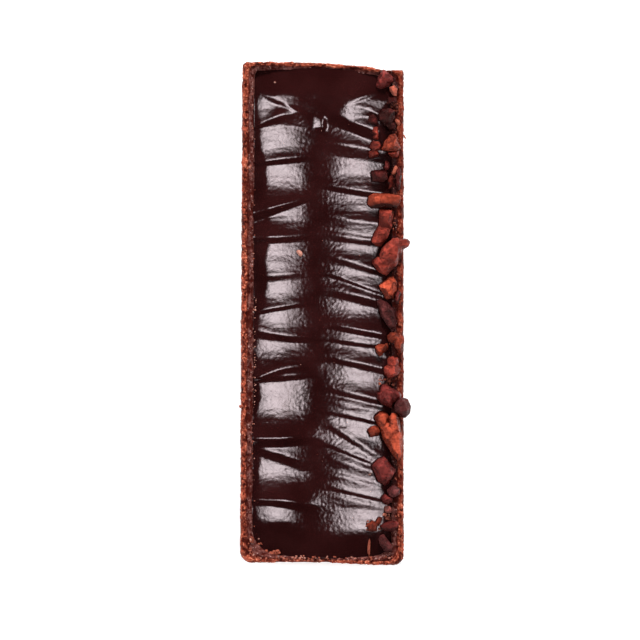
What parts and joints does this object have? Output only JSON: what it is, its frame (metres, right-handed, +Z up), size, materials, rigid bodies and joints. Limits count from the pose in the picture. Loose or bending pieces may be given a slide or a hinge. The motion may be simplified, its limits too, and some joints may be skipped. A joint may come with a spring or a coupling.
{
  "type": "chocolate tart",
  "caption": "Rectangular cocoa shortcrust tart filled with glossy dark ganache raked into crosswise folds, with roasted cacao nibs along one long side.",
  "frame": {"origin": "centre of the flat base the shell stands on", "axes": "+Z up, +Y along the tart towards the squarer far end, +X across it towards the side with the nibs"},
  "size_m": [0.042, 0.1237, 0.0239],
  "materials": {
    "crust": "baked cocoa shortcrust, rough",
    "ganache": "dark ganache, glossy",
    "nib_dark": "dark roasted skin",
    "nib_mauve": "mauve-brown skin, satin",
    "nib_maroon": "maroon-brown, satin",
    "nib_red": "red-brown, matt",
    "nib_orange": "freshly broken face, matt"
  },
  "bodies": {
    "root": {"crust": "crust", "ganache": "ganache", "nib_01": "nib_maroon", "nib_02": "nib_orange", "nib_03": "nib_dark", "nib_04": "nib_dark", "nib_05": "nib_dark", "nib_06": "nib_red", "nib_07": "nib_red", "nib_08": "nib_red", "nib_09": "nib_orange", "nib_10": "nib_maroon", "nib_11": "nib_dark", "nib_12": "nib_red", "nib_13": "nib_dark", "nib_14": "nib_red", "nib_15": "nib_orange", "nib_16": "nib_red", "nib_17": "nib_orange", "nib_18": "nib_dark", "nib_19": "nib_mauve", "nib_20": "nib_orange", "nib_21": "nib_orange", "nib_22": "nib_red", "nib_23": "nib_maroon", "nib_24": "nib_mauve", "nib_25": "nib_orange", "nib_26": "nib_orange", "nib_27": "nib_maroon", "nib_28": "nib_mauve", "nib_29": "nib_maroon", "nib_30": "nib_maroon", "nib_31": "nib_maroon", "nib_32": "nib_orange", "nib_33": "nib_mauve"}
  },
  "joints": []
}
